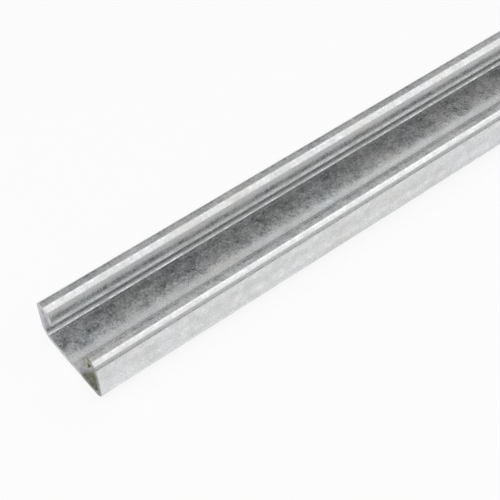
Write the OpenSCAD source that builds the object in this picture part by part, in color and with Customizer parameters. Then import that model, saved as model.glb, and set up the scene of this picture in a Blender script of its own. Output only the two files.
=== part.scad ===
// Shallow strut channel, cut to length.
// A steel strip is roll-formed into one piece: a plain web, two flanges and
// two lips that turn in over the open side and then down into the channel.
// X runs along the length, Z points out of the open side, and the origin is
// in the middle of the back of the web.

/* [Channel] */
// Length of the cut piece
channel_length = 1000; // [200:50:6000]
// Width over the two flanges
channel_width = 41.3; // [39:0.1:62]
// Height from the back of the web to the top of the lips
channel_height = 20.6; // [18:0.1:82.6]

/* [Strip] */
// Thickness of the steel strip
strip_thickness = 2.5; // [1.5:0.1:2.8]
// Inside radius of the bends between the web and the flanges
web_bend_radius = 3.4; // [0.8:0.1:5]
// Inside radius of the bends between the flanges and the lips
flange_bend_radius = 1; // [0.5:0.1:1.6]
// Inside radius of the bends where the lips turn down beside the slot
slot_bend_radius = 2.1; // [0.5:0.1:2.2]

/* [Slot] */
// Width of the slot between the two lips
slot_width = 22.4; // [14:0.1:24]
// Depth of each lip from the top face to the strip's edge
lip_depth = 7.5; // [6.2:0.1:9]
// Rounding of the strip's two edges at the bottom of the lips
lip_edge_radius = 0.8; // [0.1:0.1:1.1]

/* [Hidden] */
$fn = 64;

half_width = channel_width / 2;
half_slot = slot_width / 2;
lip_width = half_width - half_slot;
web_bend_outside = web_bend_radius + strip_thickness;
flange_bend_outside = flange_bend_radius + strip_thickness;
// a wide slot leaves less room for the bend beside it, and a thin strip less for its edge
slot_bend_inside = min(slot_bend_radius, lip_width - flange_bend_outside - strip_thickness - 0.1);
slot_bend_outside = slot_bend_inside + strip_thickness;
edge_radius = min(lip_edge_radius, 0.45 * strip_thickness);
lip_edge_height = channel_height - lip_depth;
overlap = 0.5;

// Both sides of the section's middle line
module both_sides() {
    children();
    mirror([1, 0]) children();
}

// What a bend leaves over of a square corner. The corner is at the origin and its sides run
// along +X and +Y; the piece reaches past them by the overlap, so that it cuts or joins cleanly.
module corner(radius) {
    difference() {
        translate([-overlap, -overlap]) square(radius + overlap);
        translate([radius, radius]) circle(r = radius);
    }
}

// The strip's outline as if the channel were a closed box, this far in from its outside
module closed_box(inset) {
    difference() {
        translate([inset - half_width, inset])
            square([channel_width - 2 * inset, channel_height - 2 * inset]);
        both_sides() {
            translate([half_width - inset, inset])
                rotate(90) corner(web_bend_outside - inset);
            translate([half_width - inset, channel_height - inset])
                rotate(180) corner(flange_bend_outside - inset);
        }
    }
}

// What a lip takes of the room inside: the part that turns down, and the bend above it
module lip() {
    translate([half_slot - overlap, lip_edge_height])
        square([strip_thickness + overlap, lip_depth]);
    translate([half_slot + strip_thickness, channel_height - strip_thickness])
        rotate(-90) corner(slot_bend_inside);
}

module section() {
    difference() {
        closed_box(0);
        // the room inside
        difference() {
            closed_box(strip_thickness);
            both_sides() lip();
        }
        // the slot
        translate([-half_slot, lip_edge_height - overlap])
            square([slot_width, lip_depth + 2 * overlap]);
        both_sides() {
            // the bend beside the slot
            translate([half_slot, channel_height])
                rotate(-90) corner(slot_bend_outside);
            // the strip's rounded edge
            translate([half_slot, lip_edge_height])
                corner(edge_radius);
            translate([half_slot + strip_thickness, lip_edge_height])
                rotate(90) corner(edge_radius);
        }
    }
}

module strut_channel() {
    color("silver")
        rotate([90, 0, 90])
            linear_extrude(height = channel_length, center = true)
                section();
}

strut_channel();
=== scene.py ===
import math

import bmesh
import bpy
from mathutils import Matrix, Vector


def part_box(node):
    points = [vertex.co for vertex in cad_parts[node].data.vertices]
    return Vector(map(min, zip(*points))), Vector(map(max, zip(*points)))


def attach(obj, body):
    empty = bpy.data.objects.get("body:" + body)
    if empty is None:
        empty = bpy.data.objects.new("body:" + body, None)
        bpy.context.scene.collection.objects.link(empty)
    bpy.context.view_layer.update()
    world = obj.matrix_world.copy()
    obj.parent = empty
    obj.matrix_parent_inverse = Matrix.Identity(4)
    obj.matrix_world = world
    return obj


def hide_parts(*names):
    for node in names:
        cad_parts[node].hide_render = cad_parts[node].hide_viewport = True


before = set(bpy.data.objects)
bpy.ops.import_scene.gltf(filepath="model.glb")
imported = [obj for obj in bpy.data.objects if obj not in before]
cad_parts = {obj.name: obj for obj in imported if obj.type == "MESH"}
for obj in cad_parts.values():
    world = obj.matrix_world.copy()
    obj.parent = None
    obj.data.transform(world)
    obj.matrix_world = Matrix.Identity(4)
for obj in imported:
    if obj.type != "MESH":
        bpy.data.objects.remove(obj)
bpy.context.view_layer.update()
low, high = (Vector(corner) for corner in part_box("strut_channel"))


# small helpers

def srgb(hexColour):
    # sRGB hex to the linear colour that a socket takes
    channels = [int(hexColour[i:i + 2], 16) / 255 for i in (1, 3, 5)]
    return (*[c / 12.92 if c <= 0.04045 else ((c + 0.055) / 1.055) ** 2.4 for c in channels], 1.0)


def addNode(tree, kind, inputs=None, **settings):
    # settings are the node's own properties; inputs are values or links for its sockets
    node = tree.nodes.new(kind)
    for name, value in settings.items():
        setattr(node, name, value)
    for name, value in (inputs or {}).items():
        socket = node.inputs[name]
        if isinstance(value, bpy.types.NodeSocket):
            tree.links.new(value, socket)
        else:
            socket.default_value = value
    return node


def newMaterial(name):
    material = bpy.data.materials.new(name)
    material.use_nodes = True
    material.node_tree.nodes.clear()
    return material, material.node_tree


# camera

camera = {
    "azimuth": -34.18,       # degrees round from the -Y side
    "elevation": 48.61,
    "roll": -4.55,
    "lens": 95.55,           # mm, on the 36 mm sensor
    "aimFromEnd": 0.08079,   # m, where its axis meets mid height
    "aimAcross": -0.00405,
    "distance": 0.51518,
}


def makeCamera(c):
    azimuth, elevation = math.radians(c["azimuth"]), math.radians(c["elevation"])
    back = Vector((math.sin(azimuth) * math.cos(elevation),
                   -math.cos(azimuth) * math.cos(elevation),
                   math.sin(elevation)))
    right = Vector((0, 0, 1)).cross(back).normalized()
    turn = Matrix((right, back.cross(right), back)).transposed().to_4x4()
    aim = Vector((low.x + c["aimFromEnd"], c["aimAcross"], (low.z + high.z) / 2))
    view = bpy.data.objects.new("camera", bpy.data.cameras.new("camera"))
    view.data.lens = c["lens"]
    view.data.clip_start = 0.01
    view.matrix_world = (Matrix.Translation(aim + back * c["distance"]) @ turn
                         @ Matrix.Rotation(math.radians(c["roll"]), 4, "Z"))
    bpy.context.scene.collection.objects.link(view)
    bpy.context.scene.camera = view


makeCamera(camera)
print("camera placed")


# the channel

channel = {
    "thickness": 0.0025,
    "webBend": 0.0059,       # outside radii of the bends
    "flangeBend": 0.0035,
    "slotBend": 0.0046,
    "slot": 0.0224,
    "lipDepth": 0.0075,
    "lipEdge": 0.0008,       # rounding of the strip's edges under the lips
    "bendSteps": 12,
    "edgeRound": 0.00015,    # the cut ends are barely broken
    "edgeSteps": 2,
    "sharp": 50,             # degrees, edges sharper than this are broken
    "tolerance": 1e-6,
}


def roundCorner(mesh, corner, radius, steps):
    bmesh.ops.bevel(mesh, geom=[corner], offset=radius, offset_type="OFFSET", affect="VERTICES",
                    segments=steps, profile=0.5, material=-1)


def sortMesh(mesh):
    # the operators leave their parts in an order that changes from run to run
    for number, vert in enumerate(sorted(mesh.verts, key=lambda v: tuple(v.co))):
        vert.index = number
    mesh.verts.sort()
    for parts in (mesh.edges, mesh.faces):
        inOrder = sorted(parts, key=lambda part: sorted(v.index for v in part.verts))
        for number, part in enumerate(inOrder):
            part.index = number
        parts.sort()


def makeChannel(c):
    mesh = bmesh.new()
    # the outside of half the section at one end, from the middle of the web to the lip's edge
    halfWidth, halfSlot = high.y, c["slot"] / 2
    outline = [(0, low.z), (halfWidth, low.z), (halfWidth, high.z), (halfSlot, high.z),
               (halfSlot, high.z - c["lipDepth"])]
    points = [mesh.verts.new((low.x, y, z)) for y, z in outline]
    for first, second in zip(points, points[1:]):
        mesh.edges.new((first, second))
    roundCorner(mesh, points[1], c["webBend"], c["bendSteps"])
    roundCorner(mesh, points[2], c["flangeBend"], c["bendSteps"])
    roundCorner(mesh, points[3], c["slotBend"], c["bendSteps"])
    bmesh.ops.mirror(mesh, geom=mesh.verts[:] + mesh.edges[:], axis="Y",
                     merge_dist=c["tolerance"])
    bmesh.ops.remove_doubles(mesh, verts=mesh.verts[:], dist=c["tolerance"])
    # pushed along to the other end, then given the strip's thickness inwards
    pushed = bmesh.ops.extrude_edge_only(mesh, edges=mesh.edges[:])
    bmesh.ops.translate(mesh, vec=(high.x - low.x, 0, 0),
                        verts=[v for v in pushed["geom"] if isinstance(v, bmesh.types.BMVert)])
    bmesh.ops.recalc_face_normals(mesh, faces=mesh.faces[:])
    # the back of the web faces down
    if min(mesh.faces, key=lambda f: f.calc_center_median().z).normal.z > 0:
        bmesh.ops.reverse_faces(mesh, faces=mesh.faces[:])
    bmesh.ops.solidify(mesh, geom=mesh.faces[:], thickness=c["thickness"])
    # the strip's edges under the lips, all along the channel
    underLip = high.z - c["lipDepth"]
    edges = [e for e in mesh.edges
             if all(abs(v.co.z - underLip) < c["tolerance"] for v in e.verts)
             and abs(e.verts[0].co.x - e.verts[1].co.x) > (high.x - low.x) / 2]
    bmesh.ops.bevel(mesh, geom=edges, offset=c["lipEdge"], offset_type="OFFSET", affect="EDGES",
                    segments=c["bendSteps"] // 2, profile=0.5, material=-1)
    bmesh.ops.recalc_face_normals(mesh, faces=mesh.faces[:])
    for face in mesh.faces:
        face.smooth = True
    sortMesh(mesh)
    data = bpy.data.meshes.new("strutChannel")
    mesh.to_mesh(data)
    mesh.free()
    piece = bpy.data.objects.new("strutChannel", data)
    bpy.context.scene.collection.objects.link(piece)
    bevel = piece.modifiers.new("broken edges", "BEVEL")
    bevel.width = c["edgeRound"]
    bevel.segments = c["edgeSteps"]
    bevel.limit_method = "ANGLE"
    bevel.angle_limit = math.radians(c["sharp"])
    bevel.harden_normals = True
    return piece


strutChannel = makeChannel(channel)
print("channel folded")


# finishes

def perMetre(millimetres):
    # a pattern's scale on Object coordinates, from its real size
    return 1000 / millimetres


def metres(millimetres):
    return millimetres / 1000


# painted shade: a darker olive tint inside the -X end, on the near flange, under the near lip and
# on the web beside it
paintedShade = {
    "colour": "#A1A089",           # times the finish under it, the painted shade's colour
    "spots": [                     # m, middle from the -X end, and reach each way
        ((0, -0.0175, 0.0080), (0.0080, 0.0045, 0.0125)),    # up the inside of the flange
        ((0, -0.0115, 0.0025), (0.0060, 0.0070, 0.0060)),    # on the web
        ((0, -0.0155, 0.0160), (0.0006, 0.0065, 0.0075)),    # over the lip's sawn end
    ],
    "fullDepth": 0.45,             # of the way in from a spot's edge, where the painted shade is full
    "outside": (0.0003, 0.0010),   # m, clean to shaded, going in from the strip's outside
    "patch": 2.5,                  # mm
    "patchRange": (0.25, 0.55),    # of the patches' noise, from thin to full
    "thinnest": 0.3,
}


def addPaintedShade(tree, place, colour, c):
    # painted shade, tinted olive, inside one end: it darkens the inside of the near flange, the
    # pocket under the near lip and the web beside it, where the lip keeps the light off
    depth = 0.0
    for (along, across, up), reach in c["spots"]:
        spot = addNode(tree, "ShaderNodeVectorMath", {
            0: place, 1: (low.x + along, across, up)}, operation="SUBTRACT")
        spot = addNode(tree, "ShaderNodeVectorMath", {
            0: spot.outputs[0], 1: reach}, operation="DIVIDE")
        spot = addNode(tree, "ShaderNodeTexGradient", {
            "Vector": spot.outputs[0]}, gradient_type="SPHERICAL")
        depth = addNode(tree, "ShaderNodeMath", {
            0: spot.outputs[1], 1: depth}, operation="MAXIMUM").outputs[0]
    depth = addNode(tree, "ShaderNodeMapRange", {
        "Value": depth, "From Max": c["fullDepth"]}, interpolation_type="SMOOTHSTEP")
    patches = addNode(tree, "ShaderNodeTexNoise", {
        "Vector": place, "Scale": perMetre(c["patch"]), "Detail": 3.0})
    patches = addNode(tree, "ShaderNodeMapRange", {
        "Value": patches.outputs[0], "From Min": c["patchRange"][0],
        "From Max": c["patchRange"][1], "To Min": c["thinnest"]})
    mask = addNode(tree, "ShaderNodeMath", {
        0: depth.outputs[0], 1: patches.outputs[0]}, operation="MULTIPLY")
    parts = addNode(tree, "ShaderNodeSeparateXYZ", {"Vector": place})
    for axis in (1, 2):
        # clean on the outside of the flange and under the web
        inside = addNode(tree, "ShaderNodeMapRange", {
            "Value": parts.outputs[axis], "From Min": low[axis] + c["outside"][0],
            "From Max": low[axis] + c["outside"][1]})
        mask = addNode(tree, "ShaderNodeMath", {
            0: mask.outputs[0], 1: inside.outputs[0]}, operation="MULTIPLY")
    return addNode(tree, "ShaderNodeMix", {
        0: mask.outputs[0], 6: colour.outputs[2], 7: srgb(c["colour"])},
        data_type="RGBA", blend_type="MULTIPLY")


# pairs go from where the zinc is bright to where it has weathered to a dull grey film
zinc = {
    "bright": "#EAEBEB",
    "dull": "#DADCDC",
    "metallic": (1.0, 0.34),     # the film over the metal scatters the rest
    "roughness": (0.13, 0.24),
    "warm": "#FFFEFC",           # faint tints over both
    "cool": "#FCFDFF",
    "rolled": "#E8E8E8",         # times the rest, where the rolls have rubbed
    "midRange": (0.35, 0.65),    # of a soft noise, for the tints and the rubbing
    "crystal": 1.6,              # mm across
    "grain": 0.9,                # mm, drawn coarser than the real grain so that it shows
    "cloud": 5.0,                # mm
    "cloudDetail": 5.0,          # finer and finer layers in the clouds
    "cloudRoughness": 0.62,      # how strong each of those is beside the last
    "patch": 19.0,               # mm
    "rollMark": 7.0,             # mm across
    "rollMarkLength": 400.0,     # mm along the strip
    "rollMarkShift": (0.0, 0.0, 3.35),
    "ripple": 3.4,               # mm
    "rippleHeight": 0.035,       # mm
    "grainHeight": 0.005,        # mm
    "crystalShare": 0.16,        # of each pattern in how dull a place is, beside the clouds' 1
    "grainShare": 0.85,
    "rollMarkShare": 0.20,
    "patchShare": 0.32,
    "spread": 0.30,              # of their sum, each way from its middle
}


def makeZinc(c):
    # strip galvanised before it was formed: a bright metal under a thin grey film, with faint
    # crystals, clouds, and marks of the rolls along it
    material, tree = newMaterial("galvanised steel strip")
    place = addNode(tree, "ShaderNodeTexCoord").outputs["Object"]
    crystals = addNode(tree, "ShaderNodeTexVoronoi", {
        "Vector": place, "Scale": perMetre(c["crystal"])})
    crystal = addNode(tree, "ShaderNodeSeparateColor", {"Color": crystals.outputs["Color"]})
    clouds = addNode(tree, "ShaderNodeTexNoise", {
        "Vector": place, "Scale": perMetre(c["cloud"]),
        "Detail": c["cloudDetail"], "Roughness": c["cloudRoughness"]})
    along = addNode(tree, "ShaderNodeMapping", {
        "Vector": place, "Location": c["rollMarkShift"],
        "Scale": (perMetre(c["rollMarkLength"]), perMetre(c["rollMark"]), perMetre(c["rollMark"]))})
    rollMarks = addNode(tree, "ShaderNodeTexNoise", {
        "Vector": along.outputs[0], "Scale": 1.0, "Detail": 3.0})
    grain, ripple, patches = (addNode(tree, "ShaderNodeTexNoise", {
        "Vector": place, "Scale": perMetre(c[size]), "Detail": detail})
        for size, detail in (("grain", 2.0), ("ripple", 2.0), ("patch", 1.0)))

    # how dull each place is, from 0 to 1
    dullness = clouds.outputs[0]
    middle = 0.5
    for pattern, share in ((crystal, c["crystalShare"]), (grain, c["grainShare"]),
                           (rollMarks, c["rollMarkShare"]), (patches, c["patchShare"])):
        dullness = addNode(tree, "ShaderNodeMath", {
            0: pattern.outputs[0], 1: share, 2: dullness}, operation="MULTIPLY_ADD").outputs[0]
        middle += 0.5 * share
    dull = addNode(tree, "ShaderNodeMapRange", {
        "Value": dullness, "From Min": middle - c["spread"], "From Max": middle + c["spread"]})
    film, smooth = (addNode(tree, "ShaderNodeMapRange", {
        "Value": dull.outputs[0], "To Min": brightest, "To Max": dullest})
        for brightest, dullest in (c["metallic"], c["roughness"]))

    shade = addNode(tree, "ShaderNodeMix", {
        0: dull.outputs[0], 6: srgb(c["bright"]), 7: srgb(c["dull"])}, data_type="RGBA")
    tint, rubbed = (addNode(tree, "ShaderNodeMapRange", {
        "Value": pattern.outputs[0], "From Min": c["midRange"][0], "From Max": c["midRange"][1]})
        for pattern in (patches, rollMarks))
    tint = addNode(tree, "ShaderNodeMix", {
        0: tint.outputs[0], 6: srgb(c["cool"]), 7: srgb(c["warm"])}, data_type="RGBA")
    colour = addNode(tree, "ShaderNodeMix", {
        0: 1.0, 6: shade.outputs[2], 7: tint.outputs[2]},
        data_type="RGBA", blend_type="MULTIPLY")
    colour = addNode(tree, "ShaderNodeMix", {
        0: rubbed.outputs[0], 6: colour.outputs[2], 7: srgb(c["rolled"])},
        data_type="RGBA", blend_type="MULTIPLY")
    # painted shade, tinted olive, inside the -X end under the near lip
    colour = addPaintedShade(tree, place, colour, paintedShade)

    bump = addNode(tree, "ShaderNodeBump", {
        "Height": ripple.outputs[0], "Distance": metres(c["rippleHeight"])})
    bump = addNode(tree, "ShaderNodeBump", {
        "Height": grain.outputs[0], "Distance": metres(c["grainHeight"]),
        "Normal": bump.outputs[0]})
    surface = addNode(tree, "ShaderNodeBsdfPrincipled", {
        "Base Color": colour.outputs[2], "Metallic": film.outputs[0],
        "Roughness": smooth.outputs[0], "Normal": bump.outputs[0]})
    addNode(tree, "ShaderNodeOutputMaterial", {"Surface": surface.outputs["BSDF"]})
    return material


cutSteel = {
    "bright": "#D2D1D6",
    "dark": "#ACACB1",
    "metallic": 0.75,
    "roughness": (0.38, 0.55),   # where it is bright, and where it is dark
    "sawMark": 0.35,             # mm between marks
    "sawMarkLength": 12.0,       # mm
    "sawMarkShare": 0.5,         # in how dark a place is, beside the blotches' 1
    "blotch": 1.8,               # mm
    "wornRange": (0.5, 1.0),     # of their sum, from bright to dark
    "markHeight": 0.012,         # mm
}


def makeCutSteel(c):
    # bare mild steel where a saw has gone through: greyer than the zinc, with fine marks
    # across the section
    material, tree = newMaterial("sawn mild steel")
    place = addNode(tree, "ShaderNodeTexCoord").outputs["Object"]
    length = perMetre(c["sawMarkLength"])
    along = addNode(tree, "ShaderNodeMapping", {
        "Vector": place, "Scale": (length, length, perMetre(c["sawMark"]))})
    marks = addNode(tree, "ShaderNodeTexNoise", {
        "Vector": along.outputs[0], "Scale": 1.0, "Detail": 2.0})
    blotches = addNode(tree, "ShaderNodeTexNoise", {
        "Vector": place, "Scale": perMetre(c["blotch"]), "Detail": 3.0})
    worn = addNode(tree, "ShaderNodeMath", {
        0: marks.outputs[0], 1: c["sawMarkShare"], 2: blotches.outputs[0]},
        operation="MULTIPLY_ADD")
    worn = addNode(tree, "ShaderNodeMapRange", {
        "Value": worn.outputs[0], "From Min": c["wornRange"][0], "From Max": c["wornRange"][1]})
    colour = addNode(tree, "ShaderNodeMix", {
        0: worn.outputs[0], 6: srgb(c["bright"]), 7: srgb(c["dark"])}, data_type="RGBA")
    # painted shade, tinted olive, on the sawn end of the near flange and lip
    colour = addPaintedShade(tree, place, colour, paintedShade)
    roughness = addNode(tree, "ShaderNodeMapRange", {
        "Value": worn.outputs[0], "To Min": c["roughness"][0], "To Max": c["roughness"][1]})
    bump = addNode(tree, "ShaderNodeBump", {
        "Height": marks.outputs[0], "Distance": metres(c["markHeight"])})
    surface = addNode(tree, "ShaderNodeBsdfPrincipled", {
        "Base Color": colour.outputs[2], "Metallic": c["metallic"],
        "Roughness": roughness.outputs[0], "Normal": bump.outputs[0]})
    addNode(tree, "ShaderNodeOutputMaterial", {"Surface": surface.outputs["BSDF"]})
    return material


strutChannel.data.materials.append(makeZinc(zinc))
strutChannel.data.materials.append(makeCutSteel(cutSteel))
for face in strutChannel.data.polygons:
    if abs(face.normal.x) > 0.9:     # the sawn ends
        face.material_index = 1
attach(strutChannel, "root")
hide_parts("strut_channel")
print("finishes made")


# floor, backdrop colour and lamps

studio = {
    "floorSize": 30.0,       # m
    "floorColour": "#F2F2F2",
    "floorShadow": 0.15,     # of the floor's own shading in what the camera sees, the rest is white
    "surround": "#757575",   # what the channel reflects between the lamps
}


def makeFloor(c):
    mesh = bmesh.new()
    bmesh.ops.create_grid(mesh, x_segments=1, y_segments=1, size=c["floorSize"] / 2)
    data = bpy.data.meshes.new("floor")
    mesh.to_mesh(data)
    mesh.free()
    floor = bpy.data.objects.new("floor", data)
    bpy.context.scene.collection.objects.link(floor)
    material, tree = newMaterial("white table")
    path = addNode(tree, "ShaderNodeLightPath")
    whiteShare = addNode(tree, "ShaderNodeMath", {
        0: path.outputs["Is Camera Ray"], 1: 1 - c["floorShadow"]}, operation="MULTIPLY")
    whiteShare = addNode(tree, "ShaderNodeMath", {
        0: whiteShare.outputs[0], 1: path.outputs["Is Glossy Ray"]}, operation="MAXIMUM")
    table = addNode(tree, "ShaderNodeBsdfDiffuse", {"Color": srgb(c["floorColour"])})
    white = addNode(tree, "ShaderNodeEmission", {"Color": (1, 1, 1, 1), "Strength": 1.0})
    blend = addNode(tree, "ShaderNodeMixShader", {
        0: whiteShare.outputs[0], 1: table.outputs[0], 2: white.outputs[0]})
    addNode(tree, "ShaderNodeOutputMaterial", {"Surface": blend.outputs[0]})
    data.materials.append(material)


def makeSurround(c):
    world = bpy.data.worlds.new("surround")
    world.use_nodes = True
    tree = world.node_tree
    tree.nodes.clear()
    path = addNode(tree, "ShaderNodeLightPath")
    plain = addNode(tree, "ShaderNodeBackground", {
        "Color": srgb(c["surround"]), "Strength": 1.0})
    white = addNode(tree, "ShaderNodeBackground", {"Color": (1, 1, 1, 1), "Strength": 1.0})
    blend = addNode(tree, "ShaderNodeMixShader", {
        0: path.outputs["Is Camera Ray"], 1: plain.outputs[0], 2: white.outputs[0]})
    addNode(tree, "ShaderNodeOutputWorld", {"Surface": blend.outputs[0]})
    bpy.context.scene.world = world


# softboxes round the channel, lengths in m: their angles go up from the -Y side, over the top, to
# the +Y side, and the lamp at the end is turned to stand off the -X end
lamps = {
    "front": {"from": 12, "to": 50, "radiance": 0.36, "turn": 0, "distance": 1.2, "length": 4.0},
    "overhead": {"from": 50, "to": 98, "radiance": 1.10, "turn": 0, "distance": 1.2, "length": 4.0},
    "back": {"from": 98, "to": 116, "radiance": 1.30, "turn": 0, "distance": 1.2, "length": 4.0},
    "rear": {"from": 116, "to": 146, "radiance": 0.16, "turn": 0, "distance": 1.2, "length": 4.0},
    "end": {"from": 8, "to": 40, "radiance": 0.8, "turn": -90, "distance": 1.7, "length": 1.6},
}


def makeLamp(name, c):
    angle = math.radians((c["from"] + c["to"]) / 2)
    width = 2 * c["distance"] * math.tan(math.radians(c["to"] - c["from"]) / 2)
    light = bpy.data.lights.new(name, "AREA")
    light.shape = "RECTANGLE"
    light.size = c["length"]
    light.size_y = width
    light.energy = c["radiance"] * math.pi * c["length"] * width     # watts
    lamp = bpy.data.objects.new(name, light)
    lamp.visible_camera = False
    along = Vector((1, 0, 0))
    away = Vector((0, -math.cos(angle), math.sin(angle)))
    tilt = Matrix((along, away.cross(along), away)).transposed().to_4x4()
    lamp.matrix_world = (Matrix.Rotation(math.radians(c["turn"]), 4, "Z")
                         @ Matrix.Translation(away * c["distance"]) @ tilt)
    bpy.context.scene.collection.objects.link(lamp)


makeFloor(studio)
makeSurround(studio)
for name, settings in lamps.items():
    makeLamp(name, settings)
bpy.context.scene.view_settings.view_transform = "Standard"
print("studio made")
